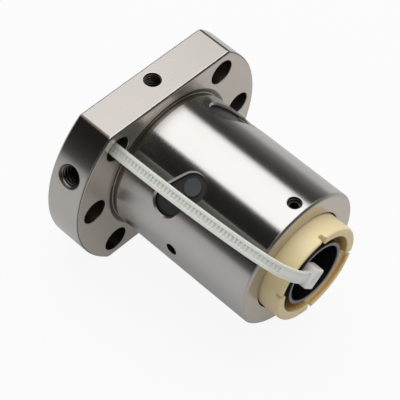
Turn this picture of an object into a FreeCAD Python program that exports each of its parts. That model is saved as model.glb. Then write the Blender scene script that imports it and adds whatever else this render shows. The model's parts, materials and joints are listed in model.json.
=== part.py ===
import FreeCAD, Part
import math
import os
from FreeCAD import Placement, Rotation, Vector

# Flanged ball screw nut with internal ball return, on the tube that keeps its balls in until it is fitted.
# X runs along the screw axis towards the front wiper, and Z is square to the two flats of the flange.
# The origin lies on the axis, in the flange's mounting face. Lengths are in millimetres, angles in degrees.
# An angle round the axis is measured from +Y towards +Z.

# Ball screw that the nut runs on
SCREW_DIAMETER = 20.0
LEAD = 5.0
BALL_DIAMETER = 3.175
BALL_CIRCLE = 20.5
RACE_CLEARANCE = 0.05
LAND_CLEARANCE = 0.3
CREST_CLEARANCE = 0.1

# Body in front of the flange
BODY_DIAMETER = 36.0
BODY_LENGTH = 41.0
BODY_CHAMFER = 0.5
RELIEF_REACH = 0.85
RELIEF_WIDTH = 1.2
RELIEF_DEPTH = 0.3

# Flange
FLANGE_DIAMETER = 58.0
FLANGE_THICKNESS = 10.0
FLANGE_FLATS = 44.0
FLANGE_CHAMFER = 0.4
BOLT_HOLE = 6.6
BOLT_ANGLES = (0, 45, 135, 180, 225, 315)

# Lubrication: a port for an M6 nipple at its tapping size, the drilling from it, and an oil hole in the body
PORT_ANGLE = 157.5
PORT_SETBACK = 5.0
PORT_CORE = 5.0
PORT_MOUTH = 6.4
PORT_DEPTH = 8.0
OIL_WAY = 1.6
OIL_HOLE = 3.0

# Ball circuits, each one turn of the race closed by a deflector that lifts the balls over the screw's crest
CIRCUITS = 4
CIRCUIT_ANGLE = 90.0
LAST_DEFLECTOR_SETBACK = 5.8
FIRST_DEFLECTOR_ANGLE = 48.0
CROSSOVER_ANGLE = 46.0
SLOT_LENGTH = 13.6
SLOT_WIDTH = 6.6
DEFLECTOR_RECESS = 1.0
GLUE_LINE = 0.05
CHANNEL_CLEARANCE = 0.2

# Wipers and their seats
SEAT_DIAMETER = 26.2
FRONT_SEAT_DEPTH = 7.0
REAR_SEAT_DEPTH = 5.8
WIPER_CLEARANCE = 0.35
WIPER_BORE = 20.8
WIPER_PROUD = 5.6
REAR_WIPER_SUNK = 0.2
TANG_ROOT = 1.5
TANG_WALL = 1.3
TANG_ANGLE = 74.0
TANG_CENTRE = 127.0
TANG_SLIT = 1.2
LIP_BASE = 2.6
LIP_CREST = 1.2
LIP_CLEARANCE = 0.15

# Set screws that hold the wipers, M4 in the body and M5 in the flange, at the core size of their threads
FRONT_SCREW_CORE = 3.3
FRONT_SCREW_LENGTH = 4.0
FRONT_SCREW_SOCKET = 2.0
FRONT_SCREW_SETBACK = 3.3
REAR_SCREW_CORE = 4.1
REAR_SCREW_LENGTH = 5.0
REAR_SCREW_SOCKET = 2.5
REAR_SCREW_SETBACK = 3.9
SCREW_FIT = 0.05
SCREW_ANGLE = 90.0

# Transport arbor
ARBOR_WALL = 1.0
ARBOR_CLEARANCE = 0.11
ARBOR_FRONT = 5.0
ARBOR_REAR = 2.0

# Radii and places that follow from the sizes above
X_AXIS = Vector(1, 0, 0)
ORIGIN = Vector(0, 0, 0)
BODY_R = BODY_DIAMETER / 2
FLANGE_R = FLANGE_DIAMETER / 2
BOLT_CIRCLE_R = (BODY_R + FLANGE_R) / 2
SEAT_R = SEAT_DIAMETER / 2
BALL_R = BALL_DIAMETER / 2
PITCH_R = BALL_CIRCLE / 2
RACE_R = BALL_R + RACE_CLEARANCE
LAND_R = SCREW_DIAMETER / 2 + LAND_CLEARANCE
WIPER_R = SEAT_R - WIPER_CLEARANCE
WIPER_BORE_R = WIPER_BORE / 2
ROOT_R = PITCH_R - BALL_R
ARBOR_R = ROOT_R - ARBOR_CLEARANCE
REAR_FACE = -FLANGE_THICKNESS
FRONT_SEAT_FLOOR = BODY_LENGTH - FRONT_SEAT_DEPTH
REAR_SEAT_FLOOR = REAR_FACE + REAR_SEAT_DEPTH
DEFLECTOR_STEP = LEAD * (1 + CIRCUIT_ANGLE / 360)
FIRST_DEFLECTOR_X = FRONT_SEAT_FLOOR - LAST_DEFLECTOR_SETBACK - (CIRCUITS - 1) * DEFLECTOR_STEP

# A crossover is an arc in a plane through the middle of its deflector, tilted so that it joins two turns of
# the race. Its ends lie on the race, half the crossover's angle to either side, and its middle clears the
# screw's crest.
HALF_CROSSOVER = CROSSOVER_ANGLE / 2
CROSSOVER_AXIAL = LEAD / 2 - LEAD * HALF_CROSSOVER / 360
CROSSOVER_ROUND = PITCH_R * math.sin(math.radians(HALF_CROSSOVER))
CROSSOVER_HALF_CHORD = math.hypot(CROSSOVER_AXIAL, CROSSOVER_ROUND)
CROSSOVER_TOP = SCREW_DIAMETER / 2 + BALL_R + CREST_CLEARANCE
CROSSOVER_RISE = CROSSOVER_TOP - PITCH_R * math.cos(math.radians(HALF_CROSSOVER))
CROSSOVER_R = (CROSSOVER_HALF_CHORD ** 2 + CROSSOVER_RISE ** 2) / (2 * CROSSOVER_RISE)
SLOT_TILT = math.degrees(math.atan2(CROSSOVER_AXIAL, CROSSOVER_ROUND))


def polar(x, radius, angle):
    """Point at a distance along the axis, a radius from it and an angle round it."""
    turn = math.radians(angle)
    return Vector(x, radius * math.cos(turn), radius * math.sin(turn))


def radial(angle):
    """Unit vector straight out from the axis at an angle."""
    return polar(0, 1, angle)


def rod(radius, start, direction, length):
    """Round rod from a point along a direction."""
    return Part.makeCylinder(radius, length, start, direction)


def face_of(points):
    """Flat face with straight sides through the points."""
    return Part.Face(Part.makePolygon(points + points[:1]))


def turned(profile):
    """Solid turned round the axis from (x, radius) points."""
    return face_of([Vector(x, 0, r) for x, r in profile]).revolve(ORIGIN, X_AXIS, 360)


def ring(x0, x1, inner, outer):
    """Plain ring on the axis."""
    return turned([(x0, inner), (x1, inner), (x1, outer), (x0, outer)])


def ring_sector(x0, x1, inner, outer, start, sweep):
    """Part of a ring, from a start angle over a sweep."""
    corners = [(x0, inner), (x1, inner), (x1, outer), (x0, outer)]
    return face_of([polar(x, r, start) for x, r in corners]).revolve(ORIGIN, X_AXIS, sweep)


def race_angle(x):
    """Angle at which the race's centre line reaches an axial place."""
    return FIRST_DEFLECTOR_ANGLE + 360 * (x - FIRST_DEFLECTOR_X + LEAD / 2) / LEAD


def deflector_place(index):
    """Axial place and angle of a deflector's middle."""
    angle = FIRST_DEFLECTOR_ANGLE + index * CIRCUIT_ANGLE
    return FIRST_DEFLECTOR_X + index * DEFLECTOR_STEP, angle


def along_slot(angle):
    """Unit vector along a deflector's slot, in the way that the angle grows."""
    tilt = math.radians(SLOT_TILT)
    return radial(angle + 90) * math.cos(tilt) - X_AXIS * math.sin(tilt)


def gothic_arch(depth):
    """Pointed groove section round a ball, as (outward, sideways) offsets from its centre."""
    shoulder = RACE_R * math.tan(math.radians(30))
    point = RACE_R / math.cos(math.radians(30))
    return [(-depth, -RACE_R), (shoulder, -RACE_R), (point, 0), (shoulder, RACE_R), (-depth, RACE_R)]


def helix_sweep(section, x0, x1):
    """Solid swept along the race from one axial place to another, from an (outward, sideways) section."""
    start = race_angle(x0)
    along_x = Rotation(Vector(0, 1, 0), Vector(0, 0, 1), X_AXIS, "ZXY")
    helix = Part.makeHelix(LEAD, x1 - x0, PITCH_R)
    helix.Placement = Placement(Vector(x0, 0, 0), Rotation(X_AXIS, start).multiply(along_x))
    corners = [polar(x0 + aside, PITCH_R + out, start) for out, aside in section]
    sweep = Part.BRepOffsetAPI.MakePipeShell(Part.Wire(helix.Edges))
    sweep.setBiNormalMode(X_AXIS)
    sweep.add(Part.makePolygon(corners + corners[:1]))
    sweep.build()
    sweep.makeSolid()
    return sweep.shape()


def slot_prism(index, length, width):
    """Oblong bar through the wall at a deflector's place, along its crossover."""
    x, angle = deflector_place(index)
    out = radial(angle)
    along = along_slot(angle)
    end = width / 2
    straight = length / 2 - end
    top = Part.LineSegment(Vector(-straight, end, 0), Vector(straight, end, 0))
    right = Part.Arc(Vector(straight, end, 0), Vector(length / 2, 0, 0), Vector(straight, -end, 0))
    bottom = Part.LineSegment(Vector(straight, -end, 0), Vector(-straight, -end, 0))
    left = Part.Arc(Vector(-straight, -end, 0), Vector(-length / 2, 0, 0), Vector(-straight, end, 0))
    outline = Part.Wire([curve.toShape() for curve in (top, right, bottom, left)])
    bar = Part.Face(outline).extrude(Vector(0, 0, BODY_R))
    turn = Rotation(along, out.cross(along), out, "ZXY")
    bar.Placement = Placement(Vector(x, 0, 0) + out * (ROOT_R / 2), turn)
    return bar


def make_flange():
    """Round flange with two flats and broken edges."""
    half_flat = FLANGE_FLATS / 2
    half_width = math.sqrt(FLANGE_R ** 2 - half_flat ** 2)
    quarters = ((1, 1), (-1, 1), (-1, -1), (1, -1))
    corners = [Vector(REAR_FACE, y * half_width, z * half_flat) for y, z in quarters]
    left = Part.Arc(corners[1], Vector(REAR_FACE, -FLANGE_R, 0), corners[2])
    right = Part.Arc(corners[3], Vector(REAR_FACE, FLANGE_R, 0), corners[0])
    top = Part.LineSegment(corners[0], corners[1])
    bottom = Part.LineSegment(corners[2], corners[3])
    outline = Part.Wire([curve.toShape() for curve in (top, left, bottom, right)])
    plate = Part.Face(outline).extrude(X_AXIS * FLANGE_THICKNESS)
    return plate.makeChamfer(FLANGE_CHAMFER, plate.Edges)


def bolt_hole(angle):
    """Tool for one bolt hole."""
    return rod(BOLT_HOLE / 2, polar(REAR_FACE, BOLT_CIRCLE_R, angle), X_AXIS, FLANGE_THICKNESS)


def lubrication_tools():
    """Port in the flange's round side, its drilling to the bore, and an oil hole between two deflectors."""
    out = radial(PORT_ANGLE)
    mouth = Vector(-PORT_SETBACK, 0, 0) + out * FLANGE_R
    sink = (PORT_MOUTH - PORT_CORE) / 2
    port = rod(PORT_CORE / 2, mouth - out * PORT_DEPTH, out, PORT_DEPTH + FLANGE_CHAMFER)
    cone = Part.makeCone(PORT_CORE / 2, PORT_MOUTH / 2 + sink, 2 * sink, mouth - out * sink, out)
    way_x = REAR_SEAT_FLOOR + OIL_WAY / 2 + RELIEF_DEPTH
    way = rod(OIL_WAY / 2, Vector(way_x, 0, 0) + out * ROOT_R, out, FLANGE_R - PORT_DEPTH - ROOT_R)
    x, angle = deflector_place(1)
    hole_angle = angle + CIRCUIT_ANGLE / 2
    hole_x = x + LEAD / 2 + LEAD * CIRCUIT_ANGLE / 720
    hole = rod(OIL_HOLE / 2, polar(hole_x, ROOT_R, hole_angle), radial(hole_angle), BODY_R)
    return [port, cone, way, hole]


def screw_hole(x, core):
    """Tool for a set screw's hole, from the wiper's seat out through the wall."""
    return rod(core / 2 + SCREW_FIT, polar(x, WIPER_BORE_R, SCREW_ANGLE), radial(SCREW_ANGLE), FLANGE_R)


def front_screw_x():
    """Axial place of the front set screw."""
    return BODY_LENGTH - FRONT_SCREW_SETBACK


def rear_screw_x():
    """Axial place of the rear set screw."""
    return REAR_FACE + REAR_SCREW_SETBACK


def make_nut_body():
    """Body and flange in one piece, with race, seats, slots and holes."""
    body = turned([
        (REAR_FACE / 2, 0), (REAR_FACE / 2, BODY_R), (BODY_LENGTH - BODY_CHAMFER, BODY_R),
        (BODY_LENGTH, BODY_R - BODY_CHAMFER), (BODY_LENGTH, 0)])
    relief = ring(-RELIEF_DEPTH, RELIEF_WIDTH, BODY_R - RELIEF_DEPTH, BODY_R + RELIEF_REACH)
    bore = turned([
        (REAR_FACE, 0), (REAR_FACE, SEAT_R), (REAR_SEAT_FLOOR, SEAT_R), (REAR_SEAT_FLOOR, LAND_R),
        (FRONT_SEAT_FLOOR, LAND_R), (FRONT_SEAT_FLOOR, SEAT_R), (BODY_LENGTH, SEAT_R), (BODY_LENGTH, 0)])
    race_start = deflector_place(0)[0] - LEAD / 2
    race_end = deflector_place(CIRCUITS - 1)[0] + LEAD / 2
    race = helix_sweep(gothic_arch(RACE_R / 2), race_start, race_end)
    tools = [relief, bore, race]
    tools += [slot_prism(index, SLOT_LENGTH, SLOT_WIDTH) for index in range(CIRCUITS)]
    tools += [bolt_hole(angle) for angle in BOLT_ANGLES]
    tools += lubrication_tools()
    tools += [screw_hole(front_screw_x(), FRONT_SCREW_CORE), screw_hole(rear_screw_x(), REAR_SCREW_CORE)]
    nut = make_flange().fuse(body)
    for tool in tools:
        nut = nut.cut(tool)
    return nut.removeSplitter()


def make_deflector(index):
    """Insert whose channel takes the balls back across the land, between two short lengths of the race."""
    x, angle = deflector_place(index)
    plug = slot_prism(index, SLOT_LENGTH - 2 * GLUE_LINE, SLOT_WIDTH - 2 * GLUE_LINE)
    plug = plug.common(ring(x - SLOT_LENGTH, x + SLOT_LENGTH, LAND_R, BODY_R - DEFLECTOR_RECESS))
    room = BALL_R + CHANNEL_CLEARANCE
    aside = radial(angle).cross(along_slot(angle))
    hub = Vector(x, 0, 0) + radial(angle) * (CROSSOVER_TOP - CROSSOVER_R)
    plug = plug.cut(rod(CROSSOVER_R + room, hub - aside * room, aside, 2 * room))
    for side in (-1, 1):
        lane = x - side * CROSSOVER_AXIAL
        start = angle + side * CROSSOVER_ANGLE - HALF_CROSSOVER
        plug = plug.cut(ring_sector(lane - room, lane + room, ROOT_R, PITCH_R + room, start, CROSSOVER_ANGLE))
    return plug.removeSplitter()


def make_ball():
    """Ball as twenty equal facets with their corners on the true sphere, because the nut holds so many."""
    sides = 5
    level = BALL_R / math.sqrt(5)
    step = 360 / sides
    front = Vector(BALL_R, 0, 0)
    rear = Vector(-BALL_R, 0, 0)
    upper = [polar(level, 2 * level, step * side) for side in range(sides + 1)]
    lower = [polar(-level, 2 * level, step * (side + 0.5)) for side in range(-1, sides + 1)]
    facets = []
    for side in range(sides):
        facets.append([front, upper[side], upper[side + 1]])
        facets.append([upper[side], lower[side + 1], upper[side + 1]])
        facets.append([upper[side], lower[side], lower[side + 1]])
        facets.append([rear, lower[side + 1], lower[side]])
    return Part.Solid(Part.Shell([face_of(facet) for facet in facets]))


def circuit_path(index):
    """Closed path of one circuit's ball centres, as many close points: the crossover, then the race."""
    x, angle = deflector_place(index)
    samples = 400
    half_arc = math.asin(CROSSOVER_HALF_CHORD / CROSSOVER_R)
    hub = Vector(x, 0, 0) + radial(angle) * (CROSSOVER_TOP - CROSSOVER_R)
    path = []
    for sample in range(samples):
        turn = half_arc * (2 * sample / samples - 1)
        path.append(hub + (radial(angle) * math.cos(turn) + along_slot(angle) * math.sin(turn)) * CROSSOVER_R)
    for sample in range(samples + 1):
        turn = HALF_CROSSOVER + (360 - CROSSOVER_ANGLE) * sample / samples
        path.append(polar(x - LEAD / 2 + LEAD * turn / 360, PITCH_R, angle + turn))
    return path


def make_ball_circuit(index):
    """Balls of one circuit, as many as its path takes, evenly spaced along it."""
    path = circuit_path(index)
    travelled = [0.0]
    for before, after in zip(path, path[1:]):
        travelled.append(travelled[-1] + before.distanceToPoint(after))
    count = int(travelled[-1] / (BALL_DIAMETER + RACE_CLEARANCE))
    ball = make_ball()
    balls = []
    sample = 0
    for number in range(count):
        while travelled[sample] < travelled[-1] * number / count:
            sample += 1
        balls.append(ball.translated(path[sample]))
    return Part.makeCompound(balls)


def wiper_lip(x0, x1):
    """Helical lip inside a wiper, in phase with the race so that it runs in the screw's groove."""
    crest = ROOT_R + LIP_CLEARANCE - PITCH_R
    base = WIPER_BORE_R + LIP_CLEARANCE - PITCH_R
    section = [(base, -LIP_BASE / 2), (crest, -LIP_CREST / 2), (crest, LIP_CREST / 2), (base, LIP_BASE / 2)]
    length = min(LEAD, x1 - x0 - 2 * LIP_CREST - LIP_BASE)
    middle = (x0 + x1) / 2
    return helix_sweep(section, middle - length / 2, middle + length / 2)


def make_front_wiper():
    """Ring that stands out of the front end, with two thin walls between two lugs and slits at their ends."""
    lug_level = BODY_LENGTH + WIPER_PROUD
    root_level = lug_level - TANG_ROOT
    slit_angle = math.degrees(TANG_SLIT / WIPER_R)
    lug_angle = 180 - TANG_ANGLE - 2 * slit_angle
    wiper = ring(FRONT_SEAT_FLOOR, root_level, WIPER_BORE_R, WIPER_R)
    wiper = wiper.fuse(wiper_lip(FRONT_SEAT_FLOOR, BODY_LENGTH))
    for side in (0, 180):
        tang_start = TANG_CENTRE + side - TANG_ANGLE / 2
        lug_start = tang_start + TANG_ANGLE + slit_angle
        wiper = wiper.fuse(ring_sector(
            root_level, lug_level, WIPER_R - TANG_WALL, WIPER_R, tang_start, TANG_ANGLE))
        wiper = wiper.fuse(ring_sector(root_level, lug_level, WIPER_BORE_R, WIPER_R, lug_start, lug_angle))
    return wiper.removeSplitter()


def make_rear_wiper():
    """Plain ring just below the flange's rear face."""
    outer_end = REAR_FACE + REAR_WIPER_SUNK
    wiper = ring(outer_end, REAR_SEAT_FLOOR, WIPER_BORE_R, WIPER_R)
    return wiper.fuse(wiper_lip(outer_end, REAR_SEAT_FLOOR)).removeSplitter()


def make_set_screw(x, core, length, socket):
    """Hexagon-socket set screw with its flat end on the wiper."""
    screw = rod(core / 2, ORIGIN, X_AXIS, length)
    corner = socket / 2 / math.cos(math.radians(30))
    hexagon = face_of([polar(length / 2, corner, 60 * side) for side in range(6)])
    screw = screw.cut(hexagon.extrude(X_AXIS * length / 2))
    tip = WIPER_R + SCREW_FIT
    turn = Rotation(radial(SCREW_ANGLE), radial(SCREW_ANGLE + 90), X_AXIS, "XYZ")
    screw.Placement = Placement(polar(x, tip, SCREW_ANGLE), turn)
    return screw


def make_arbor():
    """Plain tube of the screw's root size, open at both ends."""
    return ring(REAR_FACE - ARBOR_REAR, BODY_LENGTH + ARBOR_FRONT, ARBOR_R - ARBOR_WALL, ARBOR_R)


def main():
    """Build every piece and write it to its own file."""
    pieces = {
        "nut_body": make_nut_body(),
        "front_wiper": make_front_wiper(),
        "rear_wiper": make_rear_wiper(),
        "front_wiper_screw": make_set_screw(
            front_screw_x(), FRONT_SCREW_CORE, FRONT_SCREW_LENGTH, FRONT_SCREW_SOCKET),
        "rear_wiper_screw": make_set_screw(
            rear_screw_x(), REAR_SCREW_CORE, REAR_SCREW_LENGTH, REAR_SCREW_SOCKET),
        "transport_arbor": make_arbor(),
    }
    for index in range(CIRCUITS):
        pieces["deflector_%d" % (index + 1)] = make_deflector(index)
        pieces["ball_circuit_%d" % (index + 1)] = make_ball_circuit(index)
    os.makedirs("parts", exist_ok=True)
    for name, shape in pieces.items():
        print(name, "solids", len(shape.Solids), "valid", shape.isValid(), "volume", round(shape.Volume, 2))
        shape.exportStep("parts/%s.step" % name)


main()
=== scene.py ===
# %% [markdown]
# # A ball screw nut on its transport arbor
# A ball screw nut is a turned and ground steel body with a bolt flange. Balls run round inside it, black
# inserts send them back across the thread, and cream plastic rings wipe the screw at both ends. Until the
# nut goes on its screw, a black tube keeps the balls in, and a nylon tie keeps the tube in. The solids come
# in at their real size and place, so this script never moves them. It gives them edges and finishes, adds
# the threads and the tie, and sets the light.

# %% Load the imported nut
import json
import math
import bmesh
import bpy
from mathutils import Matrix, Vector


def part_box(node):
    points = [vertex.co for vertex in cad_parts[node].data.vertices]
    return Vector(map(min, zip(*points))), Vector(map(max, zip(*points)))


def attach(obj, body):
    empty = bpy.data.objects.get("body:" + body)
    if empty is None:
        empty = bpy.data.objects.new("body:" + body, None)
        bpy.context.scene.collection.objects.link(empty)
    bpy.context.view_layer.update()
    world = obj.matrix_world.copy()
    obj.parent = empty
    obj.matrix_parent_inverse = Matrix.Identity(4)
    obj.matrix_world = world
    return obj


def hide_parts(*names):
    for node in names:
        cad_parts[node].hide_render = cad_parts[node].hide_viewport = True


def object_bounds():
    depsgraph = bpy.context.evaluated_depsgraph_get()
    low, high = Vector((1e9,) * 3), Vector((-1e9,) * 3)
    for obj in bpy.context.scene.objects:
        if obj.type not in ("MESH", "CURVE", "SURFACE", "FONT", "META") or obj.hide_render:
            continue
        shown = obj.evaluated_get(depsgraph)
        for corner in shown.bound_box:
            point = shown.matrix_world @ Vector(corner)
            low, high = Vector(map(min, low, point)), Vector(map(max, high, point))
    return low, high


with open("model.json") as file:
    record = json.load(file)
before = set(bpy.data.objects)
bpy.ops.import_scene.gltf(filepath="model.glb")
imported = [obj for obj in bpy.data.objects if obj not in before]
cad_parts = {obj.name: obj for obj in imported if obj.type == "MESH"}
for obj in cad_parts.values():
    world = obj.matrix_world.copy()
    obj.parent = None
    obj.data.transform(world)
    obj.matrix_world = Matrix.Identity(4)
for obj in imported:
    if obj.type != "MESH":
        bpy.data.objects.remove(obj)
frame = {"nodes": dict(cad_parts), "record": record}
cad_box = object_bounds()
MM = 0.001


def in_mm(place):
    """A place in metres as rounded millimetres, for printing."""
    return [round(value / MM, 1) for value in place]


print("solids:", len(frame["nodes"]), "box in mm:", [in_mm(corner) for corner in cad_box])

# %% [markdown]
# ## The camera
# The nut lies along X and is seen from its front end and from above, with a long lens, so that its round
# edges stay near to true ellipses. A camera could be turned by hand until it looks right. Here its place
# follows from the point it looks at, a distance and three angles, which are easier to read and to change
# than a matrix.

# %% Place the camera
VIEW_CENTRE = Vector((14.0, -3.74, 0.0)) * MM
VIEW_DISTANCE = 412.3 * MM
VIEW_AZIMUTH = math.radians(40.40)
VIEW_ELEVATION = math.radians(52.14)
VIEW_ROLL = math.radians(-4.81)
LENS_MM = 162.35
NEAREST_SEEN = 10 * MM
UP = Vector((0, 0, 1))


def new_object(name, data):
    """A new object of the scene, at the origin."""
    made = bpy.data.objects.new(name, data)
    bpy.context.scene.collection.objects.link(made)
    return made


def place_camera():
    """Puts the camera on its line of sight, rolled a little about it."""
    level = math.cos(VIEW_ELEVATION)
    back = Vector((
        math.sin(VIEW_AZIMUTH) * level, -math.cos(VIEW_AZIMUTH) * level, math.sin(VIEW_ELEVATION)))
    right = UP.cross(back).normalized()
    turn = Matrix((right, back.cross(right), back)).transposed().to_4x4()
    camera = new_object("camera", bpy.data.cameras.new("camera"))
    camera.data.lens = LENS_MM
    camera.data.clip_start = NEAREST_SEEN
    place = Matrix.Translation(VIEW_CENTRE + back * VIEW_DISTANCE)
    camera.matrix_world = place @ turn @ Matrix.Rotation(-VIEW_ROLL, 4, "Z")
    bpy.context.scene.camera = camera
    return camera


camera = place_camera()
bpy.context.scene.view_settings.view_transform = "Standard"
print("camera in mm:", in_mm(camera.matrix_world.translation))

# %% [markdown]
# ## Nodes in code
# Materials, the room and the repeated shapes are all node trees. Writing each node and link out takes many
# lines, so one small helper adds a node, sets its options, and gives each input either a value or a link.
# Three more build on it: one empties a new tree, one works out a number, and one mixes two colours.

# %% Helpers for node trees
# A Mix node repeats its sockets' names for each kind of value, so its colours go by number.
MIX_FROM, MIX_TO, MIXED = 6, 7, 2
WHITE = (1, 1, 1, 1)


def step(tree, kind, inputs=None, **options):
    """Adds one node to a tree. An input is filled with a value, or linked if it is given a socket."""
    made = tree.nodes.new(kind)
    for option, value in options.items():
        setattr(made, option, value)
    for key, value in (inputs or {}).items():
        if isinstance(value, bpy.types.NodeSocket):
            tree.links.new(value, made.inputs[key])
        else:
            made.inputs[key].default_value = value
    return made


def fresh_tree(owner):
    """The node tree of a material or a world, emptied, so that it holds only what this script puts there."""
    owner.use_nodes = True
    owner.node_tree.nodes.clear()
    return owner.node_tree


def arithmetic(tree, operation, first, second):
    """A number worked out from two others."""
    return step(tree, "ShaderNodeMath", {0: first, 1: second}, operation=operation).outputs[0]


def mixed(tree, share, colour, other):
    """A colour between two others."""
    mix = step(tree, "ShaderNodeMix", {"Factor": share, MIX_FROM: colour, MIX_TO: other}, data_type="RGBA")
    return mix.outputs[MIXED]


# %% [markdown]
# ## The studio
# Polished steel shows the room more than itself. One long soft box overhead gives the broad white band
# along the body, and a dark room on both sides gives the black bands beside it. An area lamp is the soft
# box, because its edge then shows in the steel. The room is the world's colour: dark for reflections, paler
# towards the floor, and an even fill for matt surfaces, so that a plastic's colour comes out as it is
# written. The floor is nearly white where it is seen directly. In the steel it shows mostly as it is lit.

# %% Floor, soft box and room
FLOOR_SIZE = 4.0
FLOOR_COLOUR = (0.60, 0.593, 0.586, 1)
FLOOR_WHITE = 0.91
FLOOR_MIRRORED = 0.25
SOFTBOX_HEIGHT = 0.60
SOFTBOX_CENTRE = (-0.20, 0.21)
SOFTBOX_SIZE = (1.10, 0.74)
SOFTBOX_RADIANCE = 1.95
ROOM_FILL = (0.40, 0.40, 0.40, 1)
# The room's brightness at heights from 0, straight down, to 1, straight up.
ROOM_STOPS = [(0.50, 0.26), (0.61, 0.13), (0.71, 0.055), (1.0, 0.045)]
ROOM_NEAR_SIDE = 0.25
ROOM_FAR_SIDE = 1.30
HALFWAY = 0.5


def seen_directly(tree, path):
    """Whether a ray comes from the camera, straight or through the nylon."""
    return arithmetic(tree, "MAXIMUM", path["Is Camera Ray"], path["Is Transmission Ray"])


def make_floor():
    """Pale floor under the lowest point: nearly white, with a faint shadow, and less white in the steel."""
    level = cad_box[0].z
    half = FLOOR_SIZE / 2
    corners = [(-half, -half, level), (half, -half, level), (half, half, level), (-half, half, level)]
    mesh = bpy.data.meshes.new("floor")
    mesh.from_pydata(corners, [], [(0, 1, 2, 3)])
    material = bpy.data.materials.new("pale_floor")
    tree = fresh_tree(material)
    path = step(tree, "ShaderNodeLightPath").outputs
    seen = arithmetic(tree, "MULTIPLY", seen_directly(tree, path), FLOOR_WHITE)
    mirrored = arithmetic(tree, "MULTIPLY", path["Is Glossy Ray"], FLOOR_MIRRORED)
    white = arithmetic(tree, "MAXIMUM", seen, mirrored)
    matt = step(tree, "ShaderNodeBsdfDiffuse", {"Color": FLOOR_COLOUR})
    glow = step(tree, "ShaderNodeEmission", {"Color": WHITE, "Strength": 1.0})
    both = step(tree, "ShaderNodeMixShader", {0: white, 1: matt.outputs[0], 2: glow.outputs[0]})
    step(tree, "ShaderNodeOutputMaterial", {"Surface": both.outputs[0]})
    mesh.materials.append(material)
    floor = new_object("floor", mesh)


def make_softbox():
    """Long soft box overhead, a little behind the nut. Its power follows from its brightness and area."""
    lamp = bpy.data.lights.new("softbox", "AREA")
    lamp.shape = "RECTANGLE"
    lamp.size, lamp.size_y = SOFTBOX_SIZE
    lamp.energy = SOFTBOX_RADIANCE * math.pi * SOFTBOX_SIZE[0] * SOFTBOX_SIZE[1]
    softbox = new_object("softbox", lamp)
    softbox.location = (*SOFTBOX_CENTRE, SOFTBOX_HEIGHT)
    return softbox


def make_room():
    """The world: white behind the nut, an even fill for matt surfaces, and dark walls for the steel."""
    world = bpy.data.worlds.new("room")
    bpy.context.scene.world = world
    tree = fresh_tree(world)
    path = step(tree, "ShaderNodeLightPath").outputs
    towards = step(tree, "ShaderNodeTexCoord").outputs["Generated"]
    parts = step(tree, "ShaderNodeSeparateXYZ", {0: towards}).outputs
    height = step(tree, "ShaderNodeMapRange", {"Value": parts["Z"], "From Min": -1.0, "From Max": 1.0})
    side = step(tree, "ShaderNodeMapRange", {
        "Value": parts["Y"], "From Min": -1.0, "From Max": 1.0,
        "To Min": ROOM_NEAR_SIDE, "To Max": ROOM_FAR_SIDE})
    walls = step(tree, "ShaderNodeValToRGB", {"Fac": height.outputs[0]})
    stops = walls.color_ramp.elements
    while len(stops) < len(ROOM_STOPS):
        stops.new(HALFWAY)
    for stop, (place, grey) in zip(stops, ROOM_STOPS):
        stop.position = place
        stop.color = (grey, grey, grey, 1)
    lit = step(tree, "ShaderNodeVectorMath", {0: walls.outputs["Color"], "Scale": side.outputs[0]},
               operation="SCALE")
    filled = mixed(tree, path["Is Diffuse Ray"], lit.outputs[0], ROOM_FILL)
    shown = mixed(tree, seen_directly(tree, path), filled, WHITE)
    ground = step(tree, "ShaderNodeBackground", {"Color": shown, "Strength": 1.0})
    step(tree, "ShaderNodeOutputWorld", {"Surface": ground.outputs[0]})


make_floor()
softbox = make_softbox()
make_room()
print("soft box:", round(softbox.data.energy, 2), "W")

# %% [markdown]
# ## From solids to pieces with real edges
# A solid from CAD arrives as flat triangles with knife edges. No real edge is that sharp: a turned edge is
# broken with a file, and a moulded one has a small radius, and that thin strip is what catches the light.
# Each visible piece is therefore a copy of its solid: the triangles are merged, flat areas become single
# faces, and the sharp edges are bevelled. Smooth shading would then smear the bevels over the flats, so
# every corner takes its normal only from the faces it had before the bevel. A flat chamfer, as a
# countersink leaves it, keeps its own normals.

# %% Copy, break the edges, set the normals
MERGE_DISTANCE = 0.0005 * MM
CORNER_DISTANCE = 0.004 * MM
FLAT_ANGLE = math.radians(0.3)
SHARP_ANGLE = math.radians(25)
ROUND_STEPS = 2
ROUND_PROFILE = 0.5
ROUNDED = 1
CHAMFERED = 2
# A point this near to a turned surface, with a normal this near to straight out, gets the true normal.
ON_ROUND = 0.02 * MM
NEARLY_OUT = 0.99


def from_axis(point):
    """The way from the screw axis straight out to a point."""
    return Vector((0, point.y, point.z))


def merged_copy(node):
    """Closed copy of a solid, with its flat areas as single faces."""
    work = bmesh.new()
    work.from_mesh(frame["nodes"][node].data)
    bmesh.ops.remove_doubles(work, verts=work.verts[:], dist=MERGE_DISTANCE)
    bmesh.ops.dissolve_limit(work, angle_limit=FLAT_ANGLE, verts=work.verts[:], edges=work.edges[:])
    return work


def any_edge(edge):
    """For pieces that have all their edges broken."""
    return True


def break_edges(work, width, wanted=any_edge, kind=ROUNDED):
    """Bevels the edges that are wanted and still sharp, marks the new faces and returns them."""
    broken = work.faces.layers.int.get("broken") or work.faces.layers.int.new("broken")
    sharp = [edge for edge in work.edges
             if len(edge.link_faces) == 2 and edge.calc_face_angle() > SHARP_ANGLE
             and not any(face[broken] for face in edge.link_faces) and wanted(edge)]
    made = bmesh.ops.bevel(
        work, geom=sharp, offset=width, offset_type="OFFSET", profile=ROUND_PROFILE, affect="EDGES",
        segments=ROUND_STEPS if kind == ROUNDED else 1, clamp_overlap=False)["faces"]
    for face in made:
        face[broken] = kind
    return made


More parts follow.
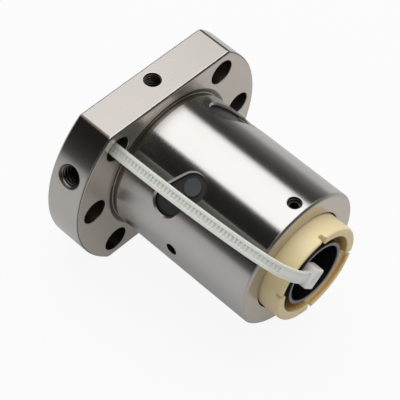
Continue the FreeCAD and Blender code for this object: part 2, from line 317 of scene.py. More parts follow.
def point_normals(work, round_radii):
    """One normal for each point: from its largest face that is no bevel, and those that go on from it."""
    flattest = math.cos(SHARP_ANGLE)
    broken = work.faces.layers.int["broken"]
    normals = {}
    for vert in work.verts:
        loops = [loop for loop in vert.link_loops if not loop.face[broken]] or list(vert.link_loops)
        main = max(loops, key=lambda loop: loop.face.calc_area()).face.normal
        smooth = [loop for loop in loops if loop.face.normal.dot(main) > flattest] or loops
        normal = sum((loop.face.normal * loop.face.calc_area() for loop in smooth), Vector()).normalized()
        out = from_axis(vert.co)
        if any(abs(out.length - radius) < ON_ROUND for radius in round_radii):
            out.normalize()
            if abs(normal.dot(out)) > NEARLY_OUT:
                normal = out if normal.dot(out) > 0 else -out
        normals[vert] = normal
    return normals


def corner_normals(work, round_radii):
    """The normals of all faces' corners in turn: those of their points, but a chamfer's own on a chamfer."""
    broken = work.faces.layers.int["broken"]
    points = point_normals(work, round_radii)
    normals = []
    for face in work.faces:
        for vert in face.verts:
            normal = points[vert]
            if face[broken] == CHAMFERED:
                cut = [other.normal for other in vert.link_faces if other[broken] == CHAMFERED]
                normal = sum(cut, Vector()).normalized()
            normals.append(normal)
    return normals


def finished(work, name, materials, round_radii, body="nut"):
    """Turns the worked copy into an object at the origin that rides on its body."""
    bmesh.ops.remove_doubles(work, verts=work.verts[:], dist=CORNER_DISTANCE)
    normals = corner_normals(work, round_radii)
    work.faces.layers.int.remove(work.faces.layers.int["broken"])
    mesh = bpy.data.meshes.new(name)
    for face in work.faces:
        face.smooth = True
    work.to_mesh(mesh)
    work.free()
    mesh.normals_split_custom_set(normals)
    for material in materials:
        mesh.materials.append(material)
    piece = new_object(name, mesh)
    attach(piece, body)
    return piece


def report(piece):
    """Says how many triangles a piece's own mesh has, before any live bevel."""
    print(piece.name, "triangles:", sum(len(face.vertices) - 2 for face in piece.data.polygons))


# %% [markdown]
# ## Steel finishes
# All the steel is one bar, but each surface was cut in another way. Grinding leaves very fine lines round
# the body, facing leaves rings on the flange, and milling leaves straight lines on the flats. So each
# finish is the same metal with its own roughness and its own direction of lines. Some tints differ for
# the light instead: the bores, threads and relief groove are darkened as painted shade, and the faced
# flange is warmer and lighter as a painted warm reflection. The lines come from noise in one dimension,
# which costs little and never repeats, and they are read from Object coordinates, so they keep their real
# spacing.

# %% Steel materials
# Two close tints for each finish, the darker one first.
PLAIN_TINTS = (0.49, 0.465, 0.44, 1), (0.52, 0.495, 0.47, 1)
GROUND_TINTS = (0.505, 0.49, 0.475, 1), (0.525, 0.51, 0.495, 1)
FLAT_TINTS = (0.365, 0.34, 0.32, 1), (0.385, 0.36, 0.34, 1)
# The faced flange's tints are warmer and lighter than the rest: a painted warm reflection on the steel's own
# grey.
FACED_REFLECTION_TINTS = (0.57, 0.515, 0.46, 1), (0.60, 0.545, 0.49, 1)
# The relief groove's darker, olive tints are painted shade in the groove at the flange's root.
RELIEF_SHADE_TINTS = (0.28, 0.255, 0.20, 1), (0.34, 0.31, 0.24, 1)
# The threads' dark tints are painted shade of the holes they sit in.
THREAD_SHADE_TINTS = (0.20, 0.18, 0.16, 1), (0.28, 0.25, 0.225, 1)
# Dark tints for the bores, slots and holes: painted shade, darker than the steel itself.
BORE_SHADE_TINTS = (0.13, 0.115, 0.10, 1), (0.20, 0.175, 0.15, 1)
BLACKENED_TINTS = (0.04, 0.038, 0.037, 1), (0.075, 0.07, 0.068, 1)
STEEL_CLOUDS = 120.0
CLOUD_DETAIL = 3.0
FINE_DETAIL = 2.0
CLOUD_LOW = 0.3
CLOUD_HIGH = 0.7
ROUGHNESS_SPREAD = 0.06
QUARTER_TURN = 0.25


def across_lines(tree, along):
    """How far a point lies across the tool's lines: along an axis, or out from the screw axis."""
    place = step(tree, "ShaderNodeTexCoord").outputs["Object"]
    if along == "radius":
        flat = step(tree, "ShaderNodeVectorMath", {0: place, 1: (0, 1, 1)}, operation="MULTIPLY")
        return step(tree, "ShaderNodeVectorMath", {0: flat.outputs[0]}, operation="LENGTH").outputs["Value"]
    return step(tree, "ShaderNodeSeparateXYZ", {0: place}).outputs[along]


def steel(name, roughness, along, spacing, depth, tints=PLAIN_TINTS, stretch=0.0, bare=1.0):
    """Steel with tool lines across a direction. They stretch what it mirrors, and a matt share dulls it."""
    material = bpy.data.materials.new(name)
    tree = fresh_tree(material)
    count = arithmetic(tree, "MULTIPLY", across_lines(tree, along), 1 / spacing)
    lines = step(tree, "ShaderNodeTexNoise", {"W": count, "Scale": 1.0, "Detail": FINE_DETAIL},
                 noise_dimensions="1D")
    place = step(tree, "ShaderNodeTexCoord").outputs["Object"]
    cloud = step(tree, "ShaderNodeTexNoise", {
        "Vector": place, "Scale": STEEL_CLOUDS, "Detail": CLOUD_DETAIL})
    bump = step(tree, "ShaderNodeBump", {"Height": lines.outputs[0], "Distance": depth, "Strength": 1.0})
    rough = step(tree, "ShaderNodeMapRange", {
        "Value": cloud.outputs[0], "From Min": CLOUD_LOW, "From Max": CLOUD_HIGH,
        "To Min": roughness * (1 - ROUGHNESS_SPREAD), "To Max": roughness * (1 + ROUGHNESS_SPREAD)})
    round_axis = step(tree, "ShaderNodeTangent", direction_type="RADIAL", axis="X")
    shader = step(tree, "ShaderNodeBsdfPrincipled", {
        "Base Color": mixed(tree, cloud.outputs[0], *tints), "Metallic": bare, "Roughness": rough.outputs[0],
        "Normal": bump.outputs[0], "Anisotropic": stretch, "Anisotropic Rotation": QUARTER_TURN,
        "Tangent": round_axis.outputs[0]})
    step(tree, "ShaderNodeOutputMaterial", {"Surface": shader.outputs[0]})
    return material


# Each finish has a roughness, a direction across its lines, and the lines' spacing and depth.
ground_steel = steel("ground_steel", 0.25, "X", 0.25 * MM, 0.0012 * MM, GROUND_TINTS, stretch=0.94)
# The faced flange's matt share lets its warm, lighter tint show as the painted reflection.
turned_steel = steel("turned_steel", 0.22, "radius", 0.30 * MM, 0.003 * MM, FACED_REFLECTION_TINTS, bare=0.75)
relief_shade_steel = steel("relief_shade_steel", 0.30, "radius", 0.30 * MM, 0.002 * MM, RELIEF_SHADE_TINTS)
milled_steel = steel("milled_steel", 0.28, "X", 0.30 * MM, 0.002 * MM, FLAT_TINTS)
rim_steel = steel("rim_steel", 0.22, "X", 0.30 * MM, 0.002 * MM, stretch=0.5)
bore_shade_steel = steel("bore_shade_steel", 0.45, "X", 0.40 * MM, 0.004 * MM, BORE_SHADE_TINTS)
edge_steel = steel("edge_steel", 0.34, "X", 0.40 * MM, 0.001 * MM)
thread_shade_steel = steel("thread_shade_steel", 0.34, "X", 0.40 * MM, 0.001 * MM, THREAD_SHADE_TINTS)
blackened_steel = steel("blackened_steel", 0.35, "Z", 0.3 * MM, 0.003 * MM, BLACKENED_TINTS)
polished_steel = steel("polished_steel", 0.06, "X", 1.0 * MM, 0.0001 * MM)
NUT_STEELS = [bore_shade_steel, ground_steel, turned_steel, milled_steel, rim_steel, edge_steel, relief_shade_steel]
BORE_SHADE, GROUND, TURNED, MILLED, RIM, EDGE, RELIEF = range(len(NUT_STEELS))
print("steel finishes:", [material.name for material in NUT_STEELS])

# %% [markdown]
# ## The nut body
# Body and flange are one piece of steel. The finish of each face follows from where it lies: on the body's
# radius, on the flats, on the flange's round side or square to the axis. Everything else was bored or
# slotted and stays duller, and its steel is darkened as painted shade in the holes, slots and bores. The
# main sizes are measured from the frame, so that they don't have to be typed twice.

# %% The steel nut
mounts = {mount["name"]: mount for mount in frame["record"]["mounts"]}
BODY_R = mounts["pilot"]["dims"]["r_mm"] * MM
nut_low, nut_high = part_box("nut_body")
RIM_R = nut_high.y
FLAT_Z = nut_high.z
FRONT_X = nut_high.x
REAR_X = nut_low.x
NEAR = 0.15 * MM
RELIEF_FROM = -0.5 * MM
RELIEF_TO = 1.5 * MM
RELIEF_HIGH = 1.0 * MM
CHAMFER_REACH = 1.0 * MM
EDGE_BREAK = 0.16 * MM
RACE_REACH = 12.9 * MM
SLOT_CHAMFER = 0.45 * MM
SLOT_ROOM = 1.0 * MM
# There are four ball circuits, and each has its own insert.
CIRCUITS = range(1, 5)
INSERT_BOXES = [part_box("deflector_%d" % circuit) for circuit in CIRCUITS]
# How well a face's normal has to agree with a direction: 1 is along it, 0 is square to it.
FLAT_AGREES = 0.98
ROUND_AGREES = 0.95


def nut_finish(face):
    """Which steel finish a face of the nut has."""
    middle = face.calc_center_median()
    out = from_axis(middle)
    radius = out.length
    outward = face.normal.dot(out.normalized())
    if abs(face.normal.z) > FLAT_AGREES and abs(middle.z) > FLAT_Z - NEAR:
        return MILLED
    if outward > ROUND_AGREES and abs(radius - BODY_R) < NEAR and middle.x > 0:
        return GROUND
    if outward > ROUND_AGREES and abs(radius - RIM_R) < 2 * NEAR:
        return RIM
    if abs(face.normal.x) > FLAT_AGREES and any(abs(middle.x - x) < NEAR for x in (REAR_X, 0, FRONT_X)):
        return TURNED
    # The relief groove at the flange's root gets darker steel, as painted shade in the groove.
    if RELIEF_FROM < middle.x < RELIEF_TO and abs(radius - BODY_R) < RELIEF_HIGH:
        return RELIEF
    if middle.x > FRONT_X - CHAMFER_REACH and radius > BODY_R - CHAMFER_REACH:
        return EDGE
    # What is left lies in holes, slots and bores, and its darker steel is painted shade.
    return BORE_SHADE


def edge_middle(edge):
    """The point halfway along an edge."""
    return (edge.verts[0].co + edge.verts[1].co) / 2


def outside_edge(edge):
    """Whether an edge of the nut can be seen: it isn't in the race, between the wipers' seats."""
    return from_axis(edge_middle(edge)).length > RACE_REACH


def near_insert(point):
    """Whether a point lies in an insert's box, or in the room round it."""
    return any(
        all(low[axis] - SLOT_ROOM < point[axis] < high[axis] + SLOT_ROOM for axis in range(3))
        for low, high in INSERT_BOXES)


def slot_edge(edge):
    """Whether an edge is the rim of an insert's slot: on the ground body, and near an insert."""
    on_body = all(abs(from_axis(vert.co).length - BODY_R) < NEAR for vert in edge.verts)
    return on_body and near_insert(edge_middle(edge))


def make_steel_nut():
    """The nut with broken edges and a finish for every face."""
    work = merged_copy("nut_body")
    for face in work.faces:
        face.material_index = nut_finish(face)
    for width, wanted, kind in ((SLOT_CHAMFER, slot_edge, CHAMFERED), (EDGE_BREAK, outside_edge, ROUNDED)):
        for face in break_edges(work, width, wanted, kind):
            face.material_index = EDGE
    nut = finished(work, "steel_nut", NUT_STEELS, (BODY_R, RIM_R))
    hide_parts("nut_body")
    return nut


steel_nut = make_steel_nut()
report(steel_nut)

# %% [markdown]
# ## Plastics
# The wipers are cream acetal, which lets a little light in. The amber glow in their thin walls is painted:
# their bores and the floor behind the walls get an amber colour as a painted glow. The inserts are black
# and slightly grained from the mould, the arbor is black and glossy, and the tie is milky nylon. They are
# all the same shader with other numbers, plus a fine grain from noise so that no surface is perfectly even.

# %% Plastic materials
PLASTIC_CLOUDS = 180.0
GLOW_DEPTH = 1.5 * MM
# Red, green and blue light go nearly equally far in.
EVEN_GLOW = (1.0, 1.0, 0.9)


def plastic(name, tints, roughness, grain, depth, glow=0.0, glow_radius=EVEN_GLOW, see_through=0.0,
            shine=0.5):
    """Moulded plastic: two close tints in soft clouds, a fine grain, and light that goes a little way in."""
    material = bpy.data.materials.new(name)
    tree = fresh_tree(material)
    place = step(tree, "ShaderNodeTexCoord").outputs["Object"]
    cloud = step(tree, "ShaderNodeTexNoise", {
        "Vector": place, "Scale": PLASTIC_CLOUDS, "Detail": FINE_DETAIL})
    skin = step(tree, "ShaderNodeTexNoise", {"Vector": place, "Scale": 1 / grain, "Detail": FINE_DETAIL})
    bump = step(tree, "ShaderNodeBump", {"Height": skin.outputs[0], "Distance": depth, "Strength": 1.0})
    shader = step(tree, "ShaderNodeBsdfPrincipled", {
        "Base Color": mixed(tree, cloud.outputs[0], *tints), "Roughness": roughness,
        "Normal": bump.outputs[0], "Subsurface Weight": glow, "Subsurface Radius": glow_radius,
        "Subsurface Scale": GLOW_DEPTH, "Transmission Weight": see_through, "Specular IOR Level": shine})
    step(tree, "ShaderNodeOutputMaterial", {"Surface": shader.outputs[0]})
    return material


# Each plastic has two close tints, the darker one first, a roughness, and the size and depth of its grain.
cream_plastic = plastic(
    "cream_plastic", ((0.82, 0.67, 0.37, 1), (0.88, 0.75, 0.47, 1)), 0.36, 0.5 * MM, 0.006 * MM,
    glow=0.4, glow_radius=(1.0, 0.62, 0.22))
# The amber is a painted glow: light that came through the thin walls, put as colour on the wipers' inner
# faces.
amber_painted_glow = plastic(
    "amber_painted_glow", ((0.78, 0.49, 0.16, 1), (0.86, 0.58, 0.23, 1)), 0.40, 0.5 * MM, 0.006 * MM,
    glow=0.4, glow_radius=(1.0, 0.55, 0.15))
black_plastic = plastic(
    "black_plastic", ((0.032, 0.031, 0.032, 1), (0.055, 0.054, 0.055, 1)), 0.40, 0.3 * MM, 0.010 * MM,
    shine=0.2)
grey_plastic = plastic(
    "grey_plastic", ((0.06, 0.065, 0.068, 1), (0.085, 0.09, 0.093, 1)), 0.36, 0.3 * MM, 0.010 * MM,
    shine=0.3)
glossy_black = plastic(
    "glossy_black", ((0.008, 0.008, 0.009, 1), (0.012, 0.012, 0.014, 1)), 0.16, 2.0 * MM, 0.003 * MM)
cut_black = plastic(
    "cut_black", ((0.16, 0.16, 0.165, 1), (0.20, 0.20, 0.205, 1)), 0.45, 0.3 * MM, 0.006 * MM)
milky_nylon = plastic(
    "milky_nylon", ((0.93, 0.94, 0.88, 1), (0.97, 0.97, 0.92, 1)), 0.32, 0.6 * MM, 0.004 * MM,
    glow=0.35, see_through=0.04)
strap_nylon = plastic(
    "strap_nylon", ((0.83, 0.85, 0.78, 1), (0.88, 0.895, 0.83, 1)), 0.32, 0.6 * MM, 0.004 * MM,
    glow=0.25, see_through=0.04)
# The web's tint is darker than the rails' as painted shade: of the channel, and of the dark steel behind it.
web_nylon_painted_shade = plastic(
    "web_nylon_painted_shade", ((0.78, 0.81, 0.75, 1), (0.84, 0.87, 0.81, 1)), 0.36, 0.6 * MM, 0.004 * MM,
    see_through=0.10)
print("all materials:", [material.name for material in bpy.data.materials])

# %% [markdown]
# ## Wipers, arbor and set screws
# These are simple turned or moulded pieces, so the copy with broken edges is all they need. The width of
# the broken edge tells the material: wide and soft where the wiper was moulded, narrow on the cut end of
# the tube. A second material goes where the same plastic looks different: amber inside the wipers, as a
# painted glow of light through their thin walls, and dull where the tube was sawn off.

# %% Turned and moulded pieces
BORE_AGREES = 0.5
END_AGREES = 0.9
WALL_DEPTH = 0.3 * MM
ON_EDGE = 0.05 * MM
WIPER_RIM_BREAK = 0.65 * MM
WIPER_BREAK = 0.38 * MM
REAR_WIPER_BREAK = 0.15 * MM
ARBOR_BREAK = 0.20 * MM
SCREW_BREAK = 0.10 * MM
WIPER_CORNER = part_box("front_wiper")[1]
WIPER_PLASTICS = [cream_plastic, amber_painted_glow]
ARBOR_PLASTICS = [glossy_black, cut_black]


def faces_axis(face):
    """Whether a face looks towards the screw axis, as the wall of a bore does."""
    return face.normal.dot(from_axis(face.calc_center_median()).normalized()) < -BORE_AGREES


def faces_end(face):
    """Whether a face is square to the screw axis."""
    return abs(face.normal.x) > END_AGREES


def painted_glow_face(face):
    """Whether a face is the wall of a wiper's bore, or the floor behind its thin walls: these get the
    painted glow.
    """
    sunk = face.normal.x > END_AGREES and face.calc_center_median().x < WIPER_CORNER.x - WALL_DEPTH
    return sunk or faces_axis(face)


def wiper_rim(edge):
    """Whether an edge is part of the front wiper's outer front edge."""
    return all(
        vert.co.x > WIPER_CORNER.x - ON_EDGE and from_axis(vert.co).length > WIPER_CORNER.y - ON_EDGE
        for vert in edge.verts)


def make_plain_piece(node, name, materials, breaks, second=faces_axis, body="nut"):
    """A solid with broken edges of given widths. The last material goes on the faces a second rule picks."""
    work = merged_copy(node)
    for face in work.faces:
        face.material_index = len(materials) - 1 if second(face) else 0
    for width, wanted in breaks:
        break_edges(work, width, wanted)
    piece = finished(work, name, materials, (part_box(node)[1].y,), body)
    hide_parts(node)
    report(piece)


make_plain_piece("front_wiper", "front_wiper_ring", WIPER_PLASTICS,
                 [(WIPER_RIM_BREAK, wiper_rim), (WIPER_BREAK, any_edge)], painted_glow_face)
make_plain_piece("rear_wiper", "rear_wiper_ring", WIPER_PLASTICS, [(REAR_WIPER_BREAK, any_edge)])
make_plain_piece("transport_arbor", "arbor_tube", ARBOR_PLASTICS, [(ARBOR_BREAK, any_edge)],
                 faces_end, "arbor")
for end in ("front", "rear"):
    make_plain_piece(end + "_wiper_screw", end + "_grub_screw", [blackened_steel],
                     [(SCREW_BREAK, any_edge)])

# %% [markdown]
# ## The ball inserts
# Each insert is a black plug glued into a slanted slot, a little below the ground surface. At one end it
# carries a low round pad, left by the mould. The pad is a second small shape in the same mesh, set on the
# plug's own top: its place is worked out from the plug's middle and the slant of its slot.

# %% Black inserts with their pads
AXIS = Vector((1, 0, 0))
SLOT_TILT = math.radians(28.6)
PAD_RADIUS = 2.2 * MM
PAD_OFFSET = 3.4 * MM
PAD_RISE = 0.25 * MM
PAD_SUNK = 0.8 * MM
PAD_SIDES = 40
INSERT_BREAK = 0.12 * MM
INSERT_PLASTICS = [black_plastic, grey_plastic]
PAD_FINISH = 1


def insert_place(node):
    """Where an insert stands: its place along the axis, its way out from it, and the radius of its top."""
    low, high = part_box(node)
    points = [vert.co for vert in frame["nodes"][node].data.vertices]
    middle = sum(points, Vector()) / len(points)
    top = max(from_axis(point).length for point in points)
    return (low.x + high.x) / 2, from_axis(middle).normalized(), top


def standing(foot, out):
    """The place of a shape that is made rising along Z, and is to rise from a point in a direction."""
    return Matrix.Translation(foot) @ out.to_track_quat("Z", "X").to_matrix().to_4x4()


def on_pad(edge):
    """Whether an edge belongs to an insert's pad."""
    return all(face.material_index == PAD_FINISH for face in edge.link_faces)


def make_insert(circuit):
    """One insert with broken edges and its round pad."""
    node = "deflector_%d" % circuit
    x, out, top = insert_place(node)
    work = merged_copy(node)
    break_edges(work, INSERT_BREAK)
    along = AXIS.cross(out) * math.cos(SLOT_TILT) - AXIS * math.sin(SLOT_TILT)
    foot = AXIS * x + out * top - along * PAD_OFFSET
    pad_out = from_axis(foot).normalized()
    centre = AXIS * foot.x + pad_out * (top + (PAD_RISE - PAD_SUNK) / 2)
    made = bmesh.ops.create_cone(
        work, cap_ends=True, segments=PAD_SIDES, radius1=PAD_RADIUS, radius2=PAD_RADIUS,
        depth=PAD_RISE + PAD_SUNK, matrix=standing(centre, pad_out))
    for face in {face for vert in made["verts"] for face in vert.link_faces}:
        face.material_index = PAD_FINISH
    break_edges(work, INSERT_BREAK, on_pad)
    work.normal_update()
    insert = finished(work, "insert_%d" % circuit, INSERT_PLASTICS, (top,))
    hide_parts(node)
    report(insert)


for circuit in CIRCUITS:
    make_insert(circuit)

# %% [markdown]
# ## The balls
# The solids carry the balls as twenty-sided blocks, which are enough for their places. Here every ball
# becomes round. Eighty equal balls are a task for Geometry Nodes: the tree takes a mesh that is only
# points, one for each ball, and puts a sphere of the right radius on every point. The points are the
# middles of the blocks.

# %% Round balls by Geometry Nodes
BALL_DIAMETER = 3.175 * MM
BALL_DIVISIONS = 3


def ball_middles(node):
    """Middle of every separate block in a circuit."""
    work = merged_copy(node)
    done = set()
    middles = []
    for first in work.verts:
        if first in done:
            continue
        done.add(first)
        block = [first]
        for vert in block:
            near = [edge.other_vert(vert) for edge in vert.link_edges]
            block += [other for other in near if other not in done]
            done.update(near)
        middles.append(sum((vert.co for vert in block), Vector()) / len(block))
    work.free()
    return middles


def shape_tree(name, takes, gives):
    """A new tree of geometry nodes with named inputs, each of a given kind. Returns it and their sockets."""
    tree = bpy.data.node_groups.new(name, "GeometryNodeTree")
    for label, kind in takes.items():
        tree.interface.new_socket(label, in_out="INPUT", socket_type="NodeSocket" + kind)
    tree.interface.new_socket(gives, in_out="OUTPUT", socket_type="NodeSocketGeometry")
    return tree, step(tree, "NodeGroupInput").outputs


def dress(tree, shape, material):
    """The end of every tree: copies become real faces, and all of them get their material."""
    real = step(tree, "GeometryNodeRealizeInstances", {0: shape})
    dressed = step(tree, "GeometryNodeSetMaterial", {"Geometry": real.outputs[0], "Material": material})
    step(tree, "NodeGroupOutput", {0: dressed.outputs[0]})
    return tree


def ball_tree():
    """Geometry nodes: a smooth sphere on every point."""
    tree, given = shape_tree("balls_on_points", {
        "Points": "Geometry", "Ball radius": "Float", "Steel": "Material"}, "Balls")
    ball = step(tree, "GeometryNodeMeshIcoSphere", {
        "Radius": given["Ball radius"], "Subdivisions": BALL_DIVISIONS})
    smooth = step(tree, "GeometryNodeSetShadeSmooth", {0: ball.outputs[0]})
    points = step(tree, "GeometryNodeMeshToPoints", {"Mesh": given["Points"]})
    placed = step(tree, "GeometryNodeInstanceOnPoints", {
        "Points": points.outputs[0], "Instance": smooth.outputs[0]})
    return dress(tree, placed.outputs[0], given["Steel"])


def made_by_nodes(source, tree, inputs, name):
    """Runs a tree on an object and keeps the result as a plain mesh object."""
    modifier = source.modifiers.new(tree.name, "NODES")
    modifier.node_group = tree
    sockets = {item.name: item.identifier for item in tree.interface.items_tree if item.in_out == "INPUT"}
    for label, value in inputs.items():
        modifier[sockets[label]] = value
    bpy.context.scene.collection.objects.link(source)
    depsgraph = bpy.context.evaluated_depsgraph_get()
    mesh = bpy.data.meshes.new_from_object(source.evaluated_get(depsgraph), depsgraph=depsgraph)
    bpy.data.objects.remove(source)
    return new_object(name, mesh)


ball_nodes = ball_tree()
for circuit in CIRCUITS:
    node = "ball_circuit_%d" % circuit
    middles = ball_middles(node)
    dots = bpy.data.meshes.new("ball_middles")
    dots.from_pydata(middles, [], [])
    balls = made_by_nodes(bpy.data.objects.new("ball_middles", dots), ball_nodes,
                          {"Ball radius": BALL_DIAMETER / 2, "Steel": polished_steel}, "balls_%d" % circuit)
    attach(balls, "nut")
    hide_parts(node)
    print(balls.name, "balls:", len(middles))

# %% [markdown]
# ## Threads
# The lubrication port and the holes of the two set screws are tapped. Cutting a thread into a solid is
# heavy, and all that is seen of it is a few bright ridges in a dark hole. So a thin ridge is wound along
# the wall by Geometry Nodes: a spiral curve with a small six-sided section swept along it. One tree serves
# all three holes. The mouth of each hole stays bare for a short length. The ridges' steel is darkened as
# painted shade of the hole.

# %% Thread ridges by Geometry Nodes
TURN_STEPS = 48
RIDGE_SIDES = 6
PORT_PITCH = 1.0 * MM
PORT_BARE = 0.4 * MM
PORT_RIDGE = 0.20 * MM
SCREW_GAP = 0.1 * MM
# For each screw's hole: the surface it opens in, and in mm its radius, pitch, bare length and ridge.
SCREW_HOLES = {"front": (BODY_R, 1.70, 0.7, 0.5, 0.12), "rear": (FLAT_Z, 2.10, 0.8, 0.7, 0.14)}


def thread_tree():
    """Geometry nodes: a thin ridge wound along a cylinder's wall, from the origin up along Z."""
    tree, given = shape_tree("thread_ridge", {
        "Start": "Geometry", "Wall radius": "Float", "Pitch": "Float", "Turns": "Float", "Ridge": "Float",
        "Steel": "Material"}, "Thread")
    spiral = step(tree, "GeometryNodeCurveSpiral", {
        "Resolution": TURN_STEPS, "Rotations": given["Turns"], "Start Radius": given["Wall radius"],
        "End Radius": given["Wall radius"],
        "Height": arithmetic(tree, "MULTIPLY", given["Pitch"], given["Turns"])})
    section = step(tree, "GeometryNodeCurvePrimitiveCircle", {
        "Resolution": RIDGE_SIDES, "Radius": given["Ridge"]}, mode="RADIUS")
    ridge = step(tree, "GeometryNodeCurveToMesh", {
        "Curve": spiral.outputs[0], "Profile Curve": section.outputs[0], "Fill Caps": True})
    return dress(tree, ridge.outputs[0], given["Steel"])


def make_thread(name, foot, out, wall, pitch, length, ridge):
    """Winds a ridge into a hole, from a point deep in it and outwards, and sets it there in its mesh."""
    start = bpy.data.objects.new("thread_start", bpy.data.meshes.new("thread_start"))
    thread = made_by_nodes(start, thread_nodes, {
        "Wall radius": wall, "Pitch": pitch, "Turns": length / pitch, "Ridge": ridge,
        "Steel": thread_shade_steel}, name)
    thread.data.transform(standing(foot, out))
    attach(thread, "nut")
    report(thread)


thread_nodes = thread_tree()
port = mounts["lube_port"]
port_out = Vector(port["axis"])
port_length = port["dims"]["length_mm"] * MM
make_thread("port_thread", Vector(port["pos_m"]) - port_out * port_length / 2, port_out,
            port["dims"]["r_mm"] * MM, PORT_PITCH, port_length - PORT_BARE, PORT_RIDGE)
for end, (surface, wall, pitch, bare, ridge) in SCREW_HOLES.items():
    low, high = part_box(end + "_wiper_screw")
    make_thread(end + "_hole_thread", Vector(((low.x + high.x) / 2, 0, high.z + SCREW_GAP)), UP,
                wall * MM, pitch * MM, surface - high.z - bare * MM, ridge * MM)

# %% [markdown]
# ## The nylon tie
# A ladder-toothed tie runs from the arbor's mouth over the wiper, along the body, through a bolt hole, down
# behind the flange and back through the arbor. It lies nearly in one plane through the axis, so its route
# is a short list: places along the axis, heights above it and a slight drift sideways. A curve through them
# carries everything else.

# %% Route of the tie
TIE_ANGLE = math.radians(134.0)
TIE_OUT = Vector((0, math.cos(TIE_ANGLE), math.sin(TIE_ANGLE)))
TIE_ACROSS = AXIS.cross(TIE_OUT)
TIE_ROUTE = [
    (47.2, 6.4, 0.0), (47.5, 8.6, 0.0), (47.9, 11.4, 0.0), (47.6, 14.4, 0.0), (46.2, 17.4, 0.0),
    (44.2, 19.3, 0.0), (41.5, 20.5, 0.05), (36.0, 21.6, 0.3), (24.0, 22.7, 0.65), (12.0, 23.1, 0.9),
    (4.0, 23.1, 1.0), (0.0, 23.1, 1.0), (-4.0, 23.1, 1.0), (-10.5, 23.1, 1.0), (-12.9, 22.4, 1.0),
    (-13.0, 18.0, 0.7), (-13.0, 10.0, 0.2), (-13.2, 6.4, 0.0), (-10.0, 6.0, 0.0), (20.0, 5.6, 0.0),
    (42.0, 5.3, 0.0), (48.4, 5.3, 0.0)]
ROUTE_ORDER = 3
ROUTE_STEPS = 12


def tie_route():
    """Smooth curve along the route, as an object for the trees to work on."""
    curve = bpy.data.curves.new("tie_route", "CURVE")
    curve.dimensions = "3D"
    spline = curve.splines.new("NURBS")
    spline.points.add(len(TIE_ROUTE) - 1)
    for point, (x, height, sideways) in zip(spline.points, TIE_ROUTE):
        point.co = (*(AXIS * x + TIE_OUT * height + TIE_ACROSS * sideways) * MM, 1)
    spline.order_u = ROUTE_ORDER
    spline.use_endpoint_u = True
    spline.resolution_u = ROUTE_STEPS
    return bpy.data.objects.new("tie_route", curve)


print("points on the tie's route:", len(TIE_ROUTE))

# %% [markdown]
# ## Trees for the strap
# The strap is a shallow channel: a thin web that lets a little of the dark steel behind it show, two
# thicker rails along its edges, and small teeth across the channel. The web is also tinted darker than the
# rails, as painted shade of the channel and of the steel behind it. All of it follows the same path, so
# Geometry Nodes make it. One tree sweeps a flat bar along the route at a chosen place across it, which
# serves for the web, both rails and the plain end, and a second tree sets the teeth at an even spacing,
# from where the plain end stops.

# %% The strap by Geometry Nodes
# Trim Curve has its sockets for lengths after those for shares, under the same names.
TRIM_START, TRIM_END = 4, 5


def way_out(tree, tangent, across):
    """The strap's way out from the axis: square to its route and to its width."""
    cross = step(tree, "ShaderNodeVectorMath", {0: tangent, 1: across}, operation="CROSS_PRODUCT")
    return cross.outputs[0]


def bar_tree():
    """Geometry nodes: a flat bar swept along a curve, shifted across it and out from it."""
    tree, given = shape_tree("swept_bar", {
        "Route": "Geometry", "Width": "Float", "Thickness": "Float", "Shift across": "Float",
        "Shift out": "Float", "Length": "Float", "Across": "Vector", "Nylon": "Material"}, "Bar")
    tangent = step(tree, "GeometryNodeInputTangent").outputs[0]
    used = step(tree, "GeometryNodeTrimCurve", {
        "Curve": given["Route"], TRIM_START: 0.0, TRIM_END: given["Length"]}, mode="LENGTH")
    turned = step(tree, "GeometryNodeSetCurveNormal", {
        "Curve": used.outputs[0], "Normal": way_out(tree, tangent, given["Across"])}, mode="FREE")
    section = step(tree, "GeometryNodeCurvePrimitiveQuadrilateral", {
        "Width": given["Thickness"], "Height": given["Width"]}, mode="RECTANGLE")
    shift = step(tree, "ShaderNodeCombineXYZ", {"X": given["Shift out"], "Y": given["Shift across"]})
    placed = step(tree, "GeometryNodeTransform", {
        "Geometry": section.outputs[0], "Translation": shift.outputs[0]})
    bar = step(tree, "GeometryNodeCurveToMesh", {
        "Curve": turned.outputs[0], "Profile Curve": placed.outputs[0], "Fill Caps": True})
    return dress(tree, bar.outputs[0], given["Nylon"])


def tooth_tree():
    """Geometry nodes: a small block at every step along a curve, after a plain length at its start."""
    tree, given = shape_tree("strap_teeth", {
        "Route": "Geometry", "Tooth spacing": "Float", "Plain end": "Float", "Shift out": "Float",
        "Tooth size": "Vector", "Across": "Vector", "Nylon": "Material"}, "Teeth")
    tangent = step(tree, "GeometryNodeInputTangent").outputs[0]
    stops = step(tree, "GeometryNodeResampleCurve", {
        "Curve": given["Route"], "Length": given["Tooth spacing"]}, mode="LENGTH")
    along = step(tree, "GeometryNodeSplineParameter").outputs["Length"]
    toothed = step(tree, "FunctionNodeCompare", {0: along, 1: given["Plain end"]}, operation="GREATER_THAN")
    stand = step(tree, "FunctionNodeAxesToRotation", {
        "Primary Axis": way_out(tree, tangent, given["Across"]), "Secondary Axis": tangent},
        primary_axis="Z", secondary_axis="X")
    block = step(tree, "GeometryNodeMeshCube", {"Size": given["Tooth size"]})
    teeth = step(tree, "GeometryNodeInstanceOnPoints", {
        "Points": stops.outputs[0], "Selection": toothed.outputs[0], "Instance": block.outputs[0],
        "Rotation": stand.outputs[0]})
    lift = step(tree, "ShaderNodeCombineXYZ", {"Z": given["Shift out"]})
    lifted = step(tree, "GeometryNodeTranslateInstances", {
        "Instances": teeth.outputs[0], "Translation": lift.outputs[0], "Local Space": True})
    return dress(tree, lifted.outputs[0], given["Nylon"])


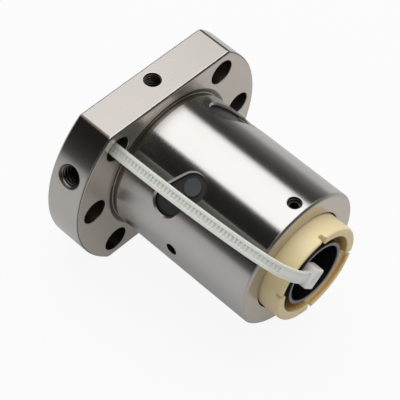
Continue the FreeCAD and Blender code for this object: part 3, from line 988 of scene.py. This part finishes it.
# %% [markdown]
# ## The pieces of the strap
# A moulded strap has soft edges, so each piece gets a small bevel, with its normals hardened so that the
# flats between the bevels stay flat. The rails stand a little higher than the web on the outer side, where
# the teeth are. The plain end stays just inside the faces of the rails, so that no two faces lie in one
# plane.

# %% Web, rails, plain end and teeth
TIE_WIDTH = 2.9 * MM
WEB_THICKNESS = 0.50 * MM
RAIL_WIDTH = 0.80 * MM
RAIL_THICKNESS = 0.90 * MM
TOOTH_SPACING = 1.0 * MM
TOOTH_SIZE = Vector((0.55, 1.4, 0.50)) * MM
PLAIN_END = 12.4 * MM
INSIDE_RAILS = 0.05 * MM
BAR_BREAK = 0.10 * MM
TOOTH_BREAK = 0.06 * MM
# In metres, and far longer than the tie, so that nothing is trimmed.
WHOLE_ROUTE = 1.0


def soften(piece, width, sharp=SHARP_ANGLE):
    """Breaks the edges of a piece with a bevel, and shades it smooth between them."""
    bevel = piece.modifiers.new("broken_edges", "BEVEL")
    bevel.width = width
    bevel.segments = ROUND_STEPS
    bevel.limit_method = "ANGLE"
    bevel.angle_limit = sharp
    bevel.harden_normals = True
    for face in piece.data.polygons:
        face.use_smooth = True


def make_bar(name, nylon, width, thickness, shift_across, shift_out, length=WHOLE_ROUTE):
    """One swept bar of the strap."""
    bar = made_by_nodes(tie_route(), bar_nodes, {
        "Width": width, "Thickness": thickness, "Shift across": shift_across, "Shift out": shift_out,
        "Length": length, "Across": TIE_ACROSS, "Nylon": nylon}, name)
    soften(bar, BAR_BREAK)
    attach(bar, "nut")
    report(bar)


bar_nodes = bar_tree()
rail_place = (TIE_WIDTH - RAIL_WIDTH) / 2
rail_lift = (RAIL_THICKNESS - WEB_THICKNESS) / 4
make_bar("tie_web", web_nylon_painted_shade, TIE_WIDTH - RAIL_WIDTH, WEB_THICKNESS, 0.0, 0.0)
make_bar("tie_rail_upper", strap_nylon, RAIL_WIDTH, RAIL_THICKNESS, -rail_place, rail_lift)
make_bar("tie_rail_lower", strap_nylon, RAIL_WIDTH, RAIL_THICKNESS, rail_place, rail_lift)
make_bar("tie_plain_end", milky_nylon, TIE_WIDTH - 2 * INSIDE_RAILS, RAIL_THICKNESS - INSIDE_RAILS, 0.0,
         rail_lift, PLAIN_END)
tie_teeth = made_by_nodes(tie_route(), tooth_tree(), {
    "Tooth spacing": TOOTH_SPACING, "Plain end": PLAIN_END, "Shift out": WEB_THICKNESS / 2,
    "Tooth size": TOOTH_SIZE, "Across": TIE_ACROSS, "Nylon": strap_nylon}, "tie_teeth")
soften(tie_teeth, TOOTH_BREAK)
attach(tie_teeth, "nut")
report(tie_teeth)

# %% [markdown]
# ## The head of the tie
# The head is a small block, and the strap's cut end comes into its window from inside the arbor, so the
# window is filled and only a shallow step is left of it. The block starts as a box, its front and rear
# faces are inset and sunk a little, and all its outer edges are softened.

# %% The head
HEAD_CENTRE = AXIS * (47.0 * MM) + TIE_OUT * (5.0 * MM)
HEAD_SIZE = Vector((3.4, 3.8, 5.2)) * MM
WINDOW_WALL = 1.0 * MM
WINDOW_STEP = 0.05 * MM
HEAD_BREAK = 0.35 * MM
HEAD_SHARP = math.radians(60)


def make_tie_head():
    """Block across the arbor's mouth, with the step of its filled window."""
    work = bmesh.new()
    bmesh.ops.create_cube(work, size=1.0, matrix=Matrix.Diagonal((*HEAD_SIZE, 1)))
    ends = [face for face in work.faces if faces_end(face)]
    bmesh.ops.inset_individual(work, faces=ends, thickness=WINDOW_WALL)
    bmesh.ops.inset_individual(work, faces=ends, thickness=WINDOW_STEP, depth=-WINDOW_STEP)
    turn = Matrix((AXIS, TIE_OUT, TIE_ACROSS)).transposed().to_4x4()
    work.transform(Matrix.Translation(HEAD_CENTRE) @ turn)
    mesh = bpy.data.meshes.new("tie_head")
    work.to_mesh(mesh)
    work.free()
    mesh.materials.append(milky_nylon)
    head = new_object("tie_head", mesh)
    soften(head, HEAD_BREAK, HEAD_SHARP)
    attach(head, "nut")
    return head


report(make_tie_head())

# %% [markdown]
# ## The end
# The dressed nut must stay the size of the solids.

# %% Finish
bpy.context.view_layer.update()
